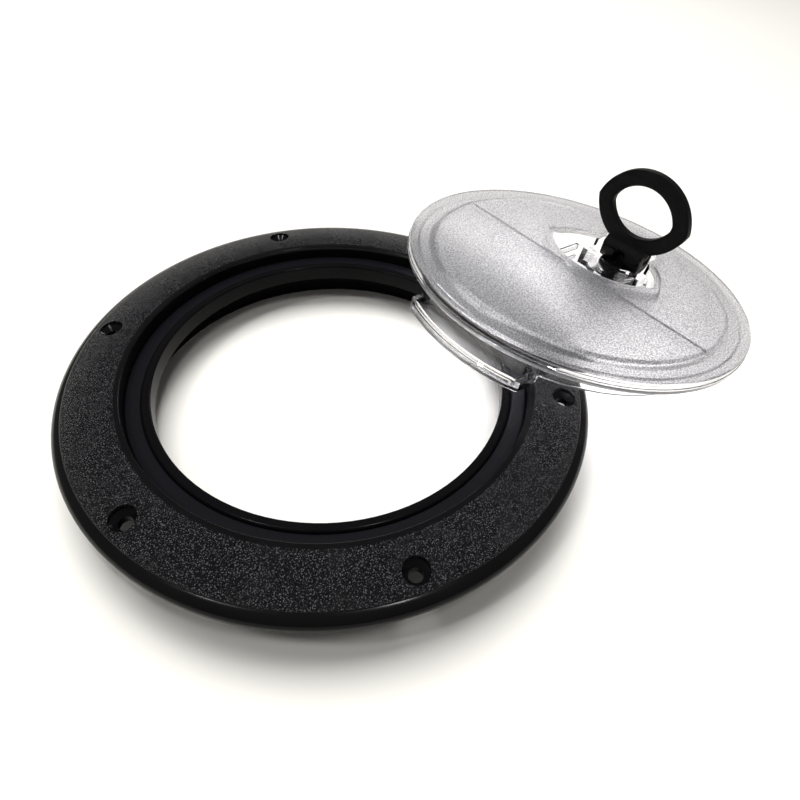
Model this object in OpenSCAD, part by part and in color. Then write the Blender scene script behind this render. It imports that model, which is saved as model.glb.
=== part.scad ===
// Round deck hatch: a flanged frame with a gasket, and a clear lift-off lid with a hook lug on one
// side and a turning cam latch with a folding ring handle on the other.
// Z = 0 is the underside of the flange, on the deck. The lid stands off its frame, leaning on the rim.

/* [Frame] */
// outer radius of the flange
flange_r = 102.5; // [80:0.5:130]
// radius of the recess that the lid drops into
seat_r = 78.4; // [60:0.2:100]
// radius of the clear opening
opening_r = 68.8; // [50:0.2:90]
// radius at which the grained top ends and the smooth rim rounds off
rim_start_r = 98.2; // [95:0.1:100]
// height of the flange at the edge of the lid seat
flange_h = 7.05; // [4:0.05:12]
// depth of the barrel below the deck
barrel_h = 19.3; // [8:0.1:60]
// outer radius of the barrel
barrel_r = 81.5; // [65:0.5:110]
// wall thickness of the barrel
barrel_wall = 2.4; // [1.5:0.1:5]
// height of the floor of the gasket channel
channel_z = -0.8; // [-3:0.1:2]
// lower edge of the hooked lip around the opening
lip_z = -4.8; // [-10:0.1:0]

/* [Deck screws] */
// number of screw holes
screw_count = 6; // [3:1:12]
// radius of the screw circle
screw_circle_r = 91.86; // [80:0.02:100]
// angle of the first screw hole
screw_a0 = 18.46; // [0:0.02:60]
// radius of the hole for the screw
screw_r = 2.45; // [1:0.05:4]
// radius of the recess for the screw head
head_r = 4.55; // [2:0.05:8]

/* [Lid] */
// outer radius of the lid
lid_r = 77.6; // [60:0.2:99]
// thickness of the rim of the lid
lid_rim_h = 4.8; // [3:0.1:8]
// radius of the raised middle panel
panel_r = 64.4; // [40:0.2:75]
// height of the raised middle panel
panel_h = 0.8; // [0:0.1:3]
// outer radius of the spigot
spigot_r = 68.2; // [50:0.1:90]
// lower edge of the spigot
spigot_z = -14.8; // [-25:0.1:-6]
// outer radius of the hook lug
lug_r = 78.6; // [70:0.1:79]
// half width of the lug, between its flat ends
lug_hw = 30.5; // [20:0.5:40]
// top edge of the hook lug
hook_z = -13.8; // [-15:0.1:-11]
// underside of the hook lug
lug_under = -18.5; // [-22:0.1:-17]
// half of the angle left open in the spigot for the cam
gate_a = 36; // [25:1:60]

/* [Lid place] */
// middle of the lid's rim plane
lid_at = [119.1, -12.2, 18.4];
// lean of the lid
lid_lean = 8.9; // [0:0.1:30]
// turn of the lid in its own plane
lid_turn = 8; // [-180:0.5:180]

/* [Handle recess] */
// distance of the latch from the middle of the lid
latch_x = 44.2; // [20:0.1:50]
// depth of the recess floor
recess_z = -5.5; // [-8:0.1:-3]
// depth of the well around the latch
well_z = -13.5; // [-20:0.1:-8]
// radius of the well
well_r = 14.2; // [12:0.1:20]

/* [Handle] */
// thickness of the ring plate
ring_t = 3.4; // [3:0.1:6]
// half width of the ring
ring_hw = 24.1; // [15:0.1:35]
// half height of the ring
ring_hh = 19.4; // [12:0.1:30]
// height of the middle of the ring above the lid
ring_z = 18.9; // [10:0.1:30]
// fold of the ring towards the middle of the lid, which stands it upright on the leaning lid
ring_fold = 8.9; // [-20:0.1:20]
// height of the fold pivot
pivot_z = -2.8; // [-6:0.1:2]
// radius of the fold pivot pin
pin_r = 1.25; // [0.8:0.05:2]

/* [Latch] */
// radius of the spindle where it is seen
spindle_r = 7.6; // [5:0.1:10]
// reach of the cam from the spindle axis
cam_reach = 31; // [20:0.5:32]
// half width of the cam
cam_hw = 9; // [4:0.5:10]

/* [Hidden] */
$fn = 96;
fit = 0.05;
lid_wall = 2.2;
panel_under = -2.6;
lug_wall = 2.4;
cam_tip_z = -11.6;
collar_r = 10.3;
collar_z = -11.9;
boss_z = -16.3;
journal_r = 6;
hub_top = -16.5;
hub_under = -23;
recess_x = 20.3;
folded_x = latch_x - ring_z + pivot_z;
head_z = pivot_z - 6.7;
knuckle_r = 6.4;
post_r = 2.9;

// helpers

module on_lid() {
    translate(lid_at) rotate([0, lid_lean, 0]) rotate([0, 0, lid_turn]) children();
}

module on_latch() {
    on_lid() translate([latch_x, 0, 0]) children();
}

// folds about the pivot, towards the middle of the lid
module on_pivot() {
    translate([0, 0, pivot_z]) rotate([0, -ring_fold, 0]) translate([0, 0, -pivot_z]) children();
}

// points along an arc around c
function arc(c, r, a0, a1, n = 4) =
    [for (i = [0 : n]) c + r * [cos(a0 + i * (a1 - a0) / n), sin(a0 + i * (a1 - a0) / n)]];

// sector around +X, half angle a
module sector(a, z, h, r = 130) {
    translate([0, 0, z]) linear_extrude(h) polygon([[0, 0], [r * cos(a), -r * sin(a)], [r * 1.2, 0],
        [r * cos(a), r * sin(a)]]);
}

// tube between two radii
module tube(r0, r1, z, h) {
    translate([0, 0, z]) rotate_extrude() translate([r0, 0]) square([r1 - r0, h]);
}

// two arcs that meet in corners at +Y and -Y
module eye(hw, hh) {
    r = (hw * hw + hh * hh) / (2 * hh);
    intersection() {
        translate([hh - r, 0]) circle(r);
        translate([r - hh, 0]) circle(r);
    }
}

// outline of the handle recess, grown by g
module recess_outline(g) {
    translate([recess_x, 0]) eye(29 + 1.3 * g, 19.7 + g);
    translate([folded_x, 0]) eye(27 + 1.3 * g, 21.5 + g);
    translate([30, -well_r - g]) square([latch_x - 30, 2 * (well_r + g)]);
    translate([latch_x, 0]) circle(well_r + g);
}

// outline of the well around the latch, grown by g
module well_outline(g) {
    translate([latch_x, 0]) circle(well_r + g);
    translate([latch_x - 10 - g, -well_r - g]) square([10 + g, 2 * (well_r + g)]);
}

// frame

module frame_section() {
    crown_r = 73.8;
    crown_in = seat_r + 2.1;
    crown_a = acos((rim_start_r - crown_in) / crown_r);
    rim_z = flange_h - crown_r * (1 - sin(crown_a));
    rim_in = rim_start_r - 2.3;
    rim_a = acos((rim_start_r - rim_in) / (flange_r - rim_in));
    inner_r = barrel_r - barrel_wall;
    polygon(concat(
        [[flange_r, 0]],
        [for (i = [0 : 9]) [rim_in + (flange_r - rim_in) * cos(i * rim_a / 10),
            1 + (rim_z - 1) * sin(i * rim_a / 10) / sin(rim_a)]],
        arc([crown_in, flange_h - crown_r], crown_r, crown_a, 90, 8),
        arc([seat_r + 0.6, flange_h - 0.6], 0.6, 90, 180),
        [[seat_r, channel_z], [72.4, channel_z]],
        arc([71.2, 1.1], 1.2, 0, 90, 5),
        arc([opening_r + 0.8, 1.5], 0.8, 90, 180),
        arc([opening_r + 0.4, lip_z + 0.4], 0.4, 180, 270),
        arc([70.9, lip_z + 0.4], 0.4, 270, 360),
        [[71.3, channel_z - 2.2], [inner_r, channel_z - 2.2]],
        arc([inner_r + 0.4, 0.4 - barrel_h], 0.4, 180, 270),
        arc([barrel_r - 0.4, 0.4 - barrel_h], 0.4, 270, 360),
        [[barrel_r, 0]]));
}

// hollow of the flange underside, between ribs and screw bosses
module flange_pockets() {
    difference() {
        tube(85, 96.5, -1, 4.2);
        for (i = [0 : screw_count - 1]) {
            rotate([0, 0, screw_a0 + i * 360 / screw_count]) translate([screw_circle_r, 0, -2])
                cylinder(r = 6.2, h = 8);
            rotate([0, 0, screw_a0 + (i + 0.33) * 360 / screw_count]) translate([80, -0.8, -2])
                cube([20, 1.6, 8]);
            rotate([0, 0, screw_a0 + (i + 0.67) * 360 / screw_count]) translate([80, -0.8, -2])
                cube([20, 1.6, 8]);
        }
    }
}

module screw_holes() {
    for (i = [0 : screw_count - 1])
        rotate([0, 0, screw_a0 + i * 360 / screw_count]) translate([screw_circle_r, 0, 0]) {
            translate([0, 0, -1]) cylinder(r = screw_r, h = 9);
            translate([0, 0, 2.6]) cylinder(r1 = screw_r, r2 = head_r, h = 1.8);
            translate([0, 0, 4.4]) cylinder(r = head_r, h = 4);
        }
}

module frame() color([0.05, 0.05, 0.05]) {
    difference() {
        rotate_extrude() frame_section();
        flange_pockets();
        screw_holes();
    }
}

module gasket() color([0.07, 0.07, 0.1]) {
    rotate_extrude() polygon(concat([[72.5, channel_z], [78.3, channel_z]],
        arc([77.6, 0.75], 0.7, 0, 90), arc([73.2, 0.75], 0.7, 90, 180)));
}

// lid

module lid_section() {
    inner_r = spigot_r - lid_wall;
    polygon(concat(
        [[0, panel_h]],
        [for (i = [0 : 8]) [panel_r + 0.3 * i, panel_h * (1 + cos(22.5 * i)) / 2]],
        arc([76.4, -0.85], 0.85, 90, 0),
        [[77.25, -2.2], [lid_r, -2.45]],
        arc([lid_r - 0.4, 0.4 - lid_rim_h], 0.4, 0, -90),
        [[72.9, -lid_rim_h], [72.3, -3.2], [spigot_r, -3.2]],
        arc([spigot_r - 0.5, spigot_z + 0.5], 0.5, 0, -90),
        arc([inner_r + 0.5, spigot_z + 0.5], 0.5, -90, -180),
        [[inner_r, -3.4], [65, panel_under], [0, panel_under]]));
}

// tray below the spigot, with a hooked outer wall and flat ends
module lug() {
    inner_r = spigot_r - lid_wall;
    corner = [7.6 - lug_r, 3.6 - lug_r];
    difference() {
        intersection() {
            rotate_extrude() polygon([[inner_r, lug_under], [lug_r - 0.9, lug_under], [lug_r, lug_under + 0.9],
                [lug_r, hook_z - 0.6], [lug_r - 0.6, hook_z], [inner_r, hook_z]]);
            translate([0, 0, lug_under - 1]) linear_extrude(hook_z - lug_under + 2) polygon([[-50, lug_hw],
                [corner[0], lug_hw], [corner[1], lug_hw - 5], [-90, lug_hw - 5], [-90, 5 - lug_hw],
                [corner[1], 5 - lug_hw], [corner[0], -lug_hw], [-50, -lug_hw]]);
        }
        intersection() {
            tube(spigot_r, lug_r - lug_wall, lug_under + 2.2, 10);
            translate([-90, lug_wall - lug_hw, -25]) cube([40, 2 * (lug_hw - lug_wall), 20]);
        }
    }
}

// stiffening ribs under the panel
module lid_ribs() {
    translate([-2.7, -65, -5.6]) cube([1.8, 130, 4]);
    translate([-65, -0.9, -5.6]) cube([64, 1.8, 4]);
    translate([58, -0.9, -5.6]) cube([8, 1.8, 4]);
    for (s = [-1, 1]) {
        translate([15.5, s * 20.2 - 0.8, recess_z - 4.6]) cube([17, 1.6, 4.6]);
        translate([11.6, s * 13.6 - 0.4, recess_z - 3.6]) cube([9.3, 0.8, 3.6]);
    }
}

module lid() color([0.86, 0.86, 0.9, 0.4]) on_lid() {
    difference() {
        union() {
            rotate_extrude() lid_section();
            lug();
            lid_ribs();
            translate([0, 0, recess_z - 2]) linear_extrude(-recess_z) recess_outline(lid_wall);
            translate([0, 0, well_z - 2]) linear_extrude(-well_z) well_outline(lid_wall);
            translate([latch_x, 0, boss_z]) cylinder(r = collar_r, h = 6);
        }
        translate([0, 0, recess_z]) linear_extrude(12) recess_outline(0);
        difference() {
            translate([0, 0, well_z]) linear_extrude(12) well_outline(0);
            translate([latch_x, 0, boss_z]) cylinder(r = collar_r, h = collar_z - boss_z);
        }
        translate([latch_x, 0, well_z]) cylinder(r = spindle_r + fit, h = 12);
        translate([latch_x, 0, boss_z - 1]) cylinder(r = journal_r + fit, h = 12);
        intersection() {
            tube(spigot_r - 3.5, spigot_r + 1, spigot_z - 1, -spigot_z - 4);
            sector(gate_a, -20, 20);
        }
    }
}

// latch

module spindle() color([0.05, 0.05, 0.05]) on_latch() {
    difference() {
        union() {
            translate([0, 0, well_z + 0.1]) cylinder(r = spindle_r, h = head_z - well_z - 0.2);
            translate([0, 0, head_z - 1.3]) cylinder(r = 10.2, h = 1.3);
            translate([0, 0, well_z]) cylinder(r = post_r, h = pivot_z - well_z);
            translate([0, 0, pivot_z]) sphere(r = post_r);
            translate([0, 0, hub_top]) cylinder(r = journal_r, h = well_z + 0.2 - hub_top);
            translate([-4.5, -4.5, hub_under + 0.1]) cube([9, 9, hub_top - hub_under]);
        }
        tube(4.6, journal_r + 1, -15.7, 1.6);
        translate([0, 10, pivot_z]) rotate([90, 0, 0]) cylinder(r = pin_r, h = 20);
        translate([0, 0, hub_under - 1]) cylinder(r = 2.5, h = 9.6);
    }
}

module spindle_seal() color([0.03, 0.03, 0.03]) on_latch() {
    translate([0, 0, -14.9]) rotate_extrude() translate([5.3, 0]) circle(r = 0.69);
}

// slot that straddles the spindle's post, seen along X
module post_slot() {
    translate([-12, 0, 0]) rotate([90, 0, 90]) linear_extrude(24) union() {
        translate([0, pivot_z]) circle(post_r + 0.25);
        translate([-post_r - 0.25, -20]) square([2 * post_r + 0.5, 20 + pivot_z]);
    }
}

module handle() color([0.05, 0.05, 0.05]) on_latch() on_pivot() {
    difference() {
        union() {
            translate([-ring_t / 2, 0, 0]) rotate([90, 0, 90]) linear_extrude(ring_t) {
                translate([0, ring_z]) rotate([0, 0, 90]) eye(ring_hw, ring_hh);
                polygon([[-10.9, pivot_z], [10.9, pivot_z], [11.4, 2], [9, 6], [-9, 6], [-11.4, 2]]);
            }
            intersection() {
                translate([0, 10.9, pivot_z]) rotate([90, 0, 0]) cylinder(r = knuckle_r, h = 21.8);
                cylinder(r = 12, h = 30, center = true);
            }
        }
        post_slot();
        translate([0, 12, pivot_z]) rotate([90, 0, 0]) cylinder(r = pin_r + fit, h = 24);
        translate([-4, 0, 0]) rotate([90, 0, 90]) linear_extrude(8) translate([0, ring_z + 0.2])
            intersection() {
                translate([0, -4.9]) circle(17);
                translate([0, 4.9]) circle(17);
                circle(15.9);
            }
    }
}

module pivot_pin() color([0.7, 0.7, 0.72]) on_latch() {
    translate([0, 9.8, pivot_z]) rotate([90, 0, 0]) cylinder(r = pin_r, h = 19.6);
}

module cam() color([0.05, 0.05, 0.05]) on_latch() {
    difference() {
        union() {
            translate([0, 0, hub_under]) cylinder(r = 10.4, h = hub_top - hub_under);
            intersection() {
                union() {
                    translate([-cam_reach, -cam_hw, -21]) cube([cam_reach, 2 * cam_hw, 4.5]);
                    translate([-cam_reach, -cam_hw, -21]) cube([8.2, 2 * cam_hw, cam_tip_z + 21]);
                }
                translate([0, 0, -22]) cylinder(r = cam_reach, h = 14);
            }
        }
        translate([-4.55, -4.55, hub_under - 1]) cube([9.1, 9.1, 10]);
    }
}

module disc_springs() color([0.6, 0.6, 0.62]) on_latch() {
    rotate_extrude() polygon([[2.8, -24.15], [7, -23.55], [7, -23.05], [2.8, -23.65]]);
    rotate_extrude() polygon([[2.8, -24.2], [7, -24.8], [7, -25.3], [2.8, -24.7]]);
}

module washer() color([0.7, 0.7, 0.72]) on_latch() {
    tube(2.8, 7.5, -26.55, 1.2);
}

module cam_screw() color([0.7, 0.7, 0.72]) on_latch() {
    difference() {
        union() {
            translate([0, 0, -26.6]) cylinder(r = 2.5, h = 10);
            translate([0, 0, -29]) cylinder(r = 4.7, h = 2.4);
            translate([0, 0, -30.1]) cylinder(r1 = 3.6, r2 = 4.7, h = 1.1);
        }
        translate([-2.6, -0.5, -31]) cube([5.2, 1, 3]);
        translate([-0.5, -2.6, -31]) cube([1, 5.2, 3]);
    }
}

frame();
gasket();
lid();
spindle();
spindle_seal();
handle();
pivot_pin();
cam();
disc_springs();
washer();
cam_screw();
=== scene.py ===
"""Looks of the round deck hatch: black frame, gasket, clear frosted lid, ring handle and latch."""
import math

import bpy
from mathutils import Matrix, Vector

MM = 0.001

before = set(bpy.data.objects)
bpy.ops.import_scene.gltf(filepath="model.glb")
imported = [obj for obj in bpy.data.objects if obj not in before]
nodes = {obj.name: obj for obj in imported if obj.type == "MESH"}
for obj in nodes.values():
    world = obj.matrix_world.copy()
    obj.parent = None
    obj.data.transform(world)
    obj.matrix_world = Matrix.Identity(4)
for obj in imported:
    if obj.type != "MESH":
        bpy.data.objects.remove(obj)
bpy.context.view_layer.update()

# driving places, in millimetres, as the CAD has them
TABLE_Z = -19.3
LID_AT = Vector((119.1, -12.2, 18.4))
LID_LEAN = 8.9
LID_TURN = 8.0
SEAT_R = 78.4
RIM_START_R = 98.2
GRAIN_IN_R = SEAT_R + 1.9
GRAIN_FADE = 0.6
GRAIN_FROM_Z = 4.6
LID_TOP_DEPTH = 0.25

# edges that turn by more than this stay sharp, in degrees
SMOOTH_DEG = 32


def lid_matrix():
    """Row frame from lid frame, in metres."""
    lean = Matrix.Rotation(math.radians(LID_LEAN), 4, "Y")
    turn = Matrix.Rotation(math.radians(LID_TURN), 4, "Z")
    return Matrix.Translation(LID_AT * MM) @ lean @ turn


# ---------------------------------------------------------------- materials

class Shader:
    """One procedural material, built node by node."""

    def __init__(self, name):
        self.mat = bpy.data.materials.new(name)
        self.mat.use_nodes = True
        self.tree = self.mat.node_tree
        self.bsdf = self.tree.nodes["Principled BSDF"]
        self.output = self.tree.nodes["Material Output"]
        self.coords = self.add("TexCoord").outputs["Object"]

    def put(self, socket, value):
        """Links a socket or sets a constant."""
        if isinstance(value, bpy.types.NodeSocket):
            self.tree.links.new(value, socket)
        else:
            socket.default_value = value

    def add(self, kind, inputs=None, **props):
        n = self.tree.nodes.new("ShaderNode" + kind)
        for key, value in props.items():
            setattr(n, key, value)
        for key, value in (inputs or {}).items():
            self.put(n.inputs[key], value)
        return n

    def math(self, operation, *values):
        n = self.add("Math", operation=operation)
        for socket, value in zip(n.inputs, values):
            self.put(socket, value)
        return n.outputs[0]

    def ramp(self, value, low, high, to_low=0.0, to_high=1.0):
        """Smooth step from to_low at low to to_high at high."""
        inputs = {"Value": value, "From Min": low, "From Max": high, "To Min": to_low, "To Max": to_high}
        return self.add("MapRange", inputs, interpolation_type="SMOOTHSTEP").outputs["Result"]

    def mix(self, factor, a, b):
        n = self.add("Mix", data_type="RGBA")
        self.put(n.inputs[0], factor)
        self.put(n.inputs[6], a)
        self.put(n.inputs[7], b)
        return n.outputs[2]

    def noise(self, scale, detail=2.0, rough=0.5, coords=None):
        inputs = {"Vector": coords or self.coords, "Scale": scale, "Detail": detail, "Roughness": rough}
        return self.add("TexNoise", inputs).outputs["Fac"]

    def cells(self, scale, smooth, coords=None):
        inputs = {"Vector": coords or self.coords, "Scale": scale, "Smoothness": smooth}
        return self.add("TexVoronoi", inputs, feature="SMOOTH_F1").outputs["Distance"]

    def bump(self, height, distance, normal=None):
        inputs = {"Height": height, "Distance": distance, "Strength": 1.0}
        if normal is not None:
            inputs["Normal"] = normal
        return self.add("Bump", inputs).outputs["Normal"]

    def local(self, matrix):
        """Coordinates in the frame of matrix."""
        inputs = {"Vector": self.coords, "Location": matrix.to_translation(),
                  "Rotation": matrix.to_euler("XYZ")}
        return self.add("Mapping", inputs, vector_type="TEXTURE").outputs["Vector"]

    def height_and_radius(self, coords):
        """z and the distance from the Z axis."""
        x, y, z = self.add("SeparateXYZ", {"Vector": coords}).outputs
        square = self.math("ADD", self.math("MULTIPLY", x, x), self.math("MULTIPLY", y, y))
        return z, self.math("SQRT", square)

    def set(self, **values):
        for key, value in values.items():
            self.put(self.bsdf.inputs[key.replace("_", " ")], value)
        return self.mat


def frame_plastic():
    """Black moulding: pebble grain on top of the flange with painted glints as pale specks, smooth and
    glossy elsewhere.
    """
    s = Shader("black_plastic")
    z, radius = s.height_and_radius(s.coords)
    outer = s.ramp(radius, RIM_START_R * MM, (RIM_START_R + GRAIN_FADE) * MM, 1.0, 0.0)
    inner = s.ramp(radius, GRAIN_IN_R * MM, (GRAIN_IN_R + 0.5) * MM)
    top = s.ramp(z, GRAIN_FROM_Z * MM, (GRAIN_FROM_Z + 0.3) * MM)
    grain = s.math("MULTIPLY", s.math("MULTIPLY", outer, inner), top)
    pebbles = s.cells(1900, 0.2)
    speck = s.noise(2200, 2.0, 0.6)
    height = s.math("MULTIPLY", s.math("ADD", pebbles, s.math("MULTIPLY", speck, 0.7)), grain)
    soft = s.noise(60, 3.0)
    dull = s.mix(soft, (0.0022, 0.0022, 0.0026, 1), (0.0045, 0.0045, 0.005, 1))
    # painted glints: pale specks at the middle of the pebbles stand in for light sparkling off the
    # grain, mixed into the base colour
    glint_centres = s.ramp(pebbles, 0.15, 0.5, 1.0, 0.0)
    painted_glints = s.math("MULTIPLY", glint_centres, s.ramp(speck, 0.38, 0.6))
    colour = s.mix(s.math("MULTIPLY", painted_glints, grain), dull, (0.13, 0.13, 0.14, 1))
    rough = s.math("ADD", s.math("MULTIPLY", grain, 0.1), s.ramp(soft, 0.3, 0.7, 0.15, 0.2))
    normal = s.bump(s.noise(300, 3.0), 0.000006)
    normal = s.bump(height, 0.0004, normal)
    gloss = s.ramp(z, 1.5 * MM, 4.2 * MM, 0.06, 0.23)
    return s.set(Base_Color=colour, Roughness=rough, Normal=normal, IOR=1.49,
                 Specular_IOR_Level=gloss)


def seal_foam():
    s = Shader("seal_foam")
    fine = s.noise(1800, 4.0, 0.6)
    colour = s.mix(fine, (0.003, 0.003, 0.004, 1), (0.007, 0.007, 0.0095, 1))
    normal = s.bump(fine, 0.00004)
    return s.set(Base_Color=colour, Roughness=s.ramp(fine, 0.3, 0.7, 0.4, 0.55), Normal=normal,
                 Specular_IOR_Level=0.22)


def clear_lid():
    """Clear polycarbonate with a frosted grain on its top face."""
    s = Shader("clear_polycarbonate")
    local = s.local(lid_matrix())
    z = s.add("SeparateXYZ", {"Vector": local}).outputs["Z"]
    top = s.ramp(z, -LID_TOP_DEPTH * MM, -0.05 * MM)
    pebbles = s.cells(1300, 0.5, local)
    fine = s.noise(1500, 2.0, 0.6, local)
    height = s.math("MULTIPLY", s.math("ADD", pebbles, s.math("MULTIPLY", fine, 0.6)), top)
    normal = s.bump(height, 0.00013)
    rough = s.ramp(top, 0.0, 1.0, 0.03, 0.29)
    speck = s.ramp(fine, 0.4, 0.6)
    frost = s.mix(speck, (0.24, 0.23, 0.26, 1), (0.92, 0.915, 0.95, 1))
    colour = s.mix(top, (0.93, 0.93, 0.94, 1), frost)
    clear_part = s.math("SUBTRACT", 1.0, s.math("MULTIPLY", top, 0.12))
    s.set(Base_Color=colour, Roughness=rough, Normal=normal, IOR=1.58, Transmission_Weight=clear_part)
    clear = s.add("BsdfTransparent", {"Color": (0.8, 0.8, 0.82, 1)})
    path = s.add("LightPath")
    mixed = s.add("MixShader")
    s.put(mixed.inputs[0], path.outputs["Is Shadow Ray"])
    s.put(mixed.inputs[1], s.bsdf.outputs[0])
    s.put(mixed.inputs[2], clear.outputs[0])
    s.put(s.output.inputs["Surface"], mixed.outputs[0])
    return s.mat


def satin_black(name, rough):
    s = Shader(name)
    soft = s.noise(90, 3.0)
    fine = s.noise(1500, 3.0)
    colour = s.mix(soft, (0.0025, 0.0025, 0.0026, 1), (0.0042, 0.0042, 0.0044, 1))
    normal = s.bump(fine, 0.00003)
    return s.set(Base_Color=colour, Roughness=s.ramp(fine, 0.3, 0.7, rough, rough + 0.1), Normal=normal,
                 IOR=1.49, Specular_IOR_Level=0.14)


def steel(name, rough):
    s = Shader(name)
    fine = s.noise(900, 4.0)
    colour = s.mix(fine, (0.5, 0.5, 0.51, 1), (0.62, 0.62, 0.63, 1))
    return s.set(Base_Color=colour, Metallic=1.0, Roughness=s.ramp(fine, 0.3, 0.7, rough, rough + 0.12))


def dress(node, mat):
    mesh = nodes[node].data
    mesh.materials.clear()
    mesh.materials.append(mat)


black = frame_plastic()
handle_black = satin_black("handle_plastic", 0.45)
latch_black = satin_black("latch_plastic", 0.25)
stainless = steel("stainless_steel", 0.25)
FINISH = {
    "frame": black,
    "gasket": seal_foam(),
    "lid": clear_lid(),
    "spindle": latch_black,
    "spindle_seal": satin_black("seal_rubber", 0.5),
    "handle": handle_black,
    "pivot_pin": stainless,
    "cam": latch_black,
    "disc_springs": steel("spring_steel", 0.3),
    "washer": stainless,
    "cam_screw": stainless,
}
for node, mat in FINISH.items():
    dress(node, mat)


# ---------------------------------------------------------------- edges

def soft_shading():
    """Node group that joins the CAD faces and shades them smooth, except across sharp edges."""
    group = bpy.data.node_groups.new("soft_shading", "GeometryNodeTree")
    group.interface.new_socket("Geometry", in_out="INPUT", socket_type="NodeSocketGeometry")
    group.interface.new_socket("Geometry", in_out="OUTPUT", socket_type="NodeSocketGeometry")

    def step(kind, before=None, **inputs):
        n = group.nodes.new(kind)
        if before is not None:
            group.links.new(before.outputs[0], n.inputs[0])
        for key, value in inputs.items():
            n.inputs[key].default_value = value
        return n

    start = step("NodeGroupInput")
    merged = step("GeometryNodeMergeByDistance", start, Distance=0.000002)
    plain = step("GeometryNodeRemoveAttribute", merged, Name="custom_normal")
    faces = step("GeometryNodeSetShadeSmooth", plain)
    faces.domain = "FACE"
    edges = step("GeometryNodeSetShadeSmooth", faces)
    edges.domain = "EDGE"
    angle = step("GeometryNodeInputMeshEdgeAngle")
    flat = step("FunctionNodeCompare")
    flat.data_type = "FLOAT"
    flat.operation = "LESS_THAN"
    group.links.new(angle.outputs["Unsigned Angle"], flat.inputs[0])
    flat.inputs[1].default_value = math.radians(SMOOTH_DEG)
    group.links.new(flat.outputs[0], edges.inputs["Shade Smooth"])
    end = step("NodeGroupOutput", edges)
    return group


def soften(node, group, width):
    """Smooth shading and a small rounding on the sharp edges, in millimetres."""
    smooth = nodes[node].modifiers.new("soft_shading", "NODES")
    smooth.node_group = group
    if width:
        bevel = nodes[node].modifiers.new("edge_rounding", "BEVEL")
        bevel.limit_method = "ANGLE"
        bevel.angle_limit = math.radians(SMOOTH_DEG)
        bevel.width = width * MM
        bevel.segments = 2
        bevel.use_clamp_overlap = False
        bevel.harden_normals = True


ROUNDING = {"handle": 0.35, "spindle": 0.25, "cam": 0.3, "cam_screw": 0.15}
shading = soft_shading()
for node in FINISH:
    soften(node, shading, ROUNDING.get(node, 0))


# ---------------------------------------------------------------- stage

CAMERA_AT = Vector((-0.06614, -0.14237, 0.16218))
CAMERA_AZIMUTH = 54.61
CAMERA_PITCH = -48.757
CAMERA_ROLL = 4.215
LENS_MM = 24.849
SENSOR_MM = 36.0
FLOOR_SIZE = 6

# name, azimuth, elevation, distance, size, power, whether it is seen in reflections
LIGHTS = (
    ("overhead", 75, 72, 1.4, (0.9, 0.9), 25, False),
    ("strip_left", 178, 63, 1.2, (0.07, 0.2), 1.8, True),
    ("strip_right", -85, 70, 1.2, (0.07, 0.2), 1.8, True),
    ("window", 37, 25, 1.2, (0.28, 0.07), 0.9, True),
)
WORLD_COLOUR = (1.0, 0.995, 0.985, 1)
WORLD_STRENGTH = 0.14


def direction(azimuth, elevation):
    """Unit vector at an azimuth and an elevation, in degrees."""
    a, e = math.radians(azimuth), math.radians(elevation)
    return Vector((math.cos(e) * math.cos(a), math.cos(e) * math.sin(a), math.sin(e)))


def make_camera():
    """Camera at the matching height and angle; the roll turns it about its own line of sight."""
    look = direction(CAMERA_AZIMUTH, CAMERA_PITCH)
    roll = math.radians(CAMERA_ROLL)
    level = look.cross(Vector((0, 0, 1))).normalized()
    above = level.cross(look)
    right = level * math.cos(roll) + above * math.sin(roll)
    up = above * math.cos(roll) - level * math.sin(roll)
    turn = Matrix((right, up, -look)).transposed().to_4x4()
    data = bpy.data.cameras.new("camera")
    data.lens = LENS_MM
    data.sensor_width = SENSOR_MM
    data.clip_start = 0.01
    camera = bpy.data.objects.new("camera", data)
    camera.matrix_world = Matrix.Translation(CAMERA_AT) @ turn
    bpy.context.scene.collection.objects.link(camera)
    bpy.context.scene.camera = camera


def make_floor():
    bpy.ops.mesh.primitive_plane_add(size=FLOOR_SIZE, location=(0, 0, TABLE_Z * MM))
    floor = bpy.context.object
    floor.name = "floor"
    s = Shader("floor")
    tone = s.mix(s.noise(6, 2.0), (0.86, 0.84, 0.79, 1), (0.87, 0.852, 0.802, 1))
    s.set(Base_Color=tone, Roughness=0.7)
    floor.data.materials.append(s.mat)


def area_light(name, azimuth, elevation, distance, size, power, seen):
    """Rectangular light that faces the hatch; one that isn't seen leaves no reflection of itself."""
    away = direction(azimuth, elevation)
    data = bpy.data.lights.new(name, "AREA")
    data.shape = "RECTANGLE"
    data.size, data.size_y = size
    data.energy = power
    light = bpy.data.objects.new(name, data)
    light.location = away * distance
    light.rotation_euler = (-away).to_track_quat("-Z", "Y").to_euler()
    light.visible_glossy = seen
    bpy.context.scene.collection.objects.link(light)


def make_light():
    world = bpy.data.worlds.new("studio")
    world.use_nodes = True
    background = world.node_tree.nodes["Background"]
    background.inputs["Color"].default_value = WORLD_COLOUR
    background.inputs["Strength"].default_value = WORLD_STRENGTH
    bpy.context.scene.world = world
    for light in LIGHTS:
        area_light(*light)


make_camera()
make_floor()
make_light()
bpy.context.scene.view_settings.view_transform = "Standard"
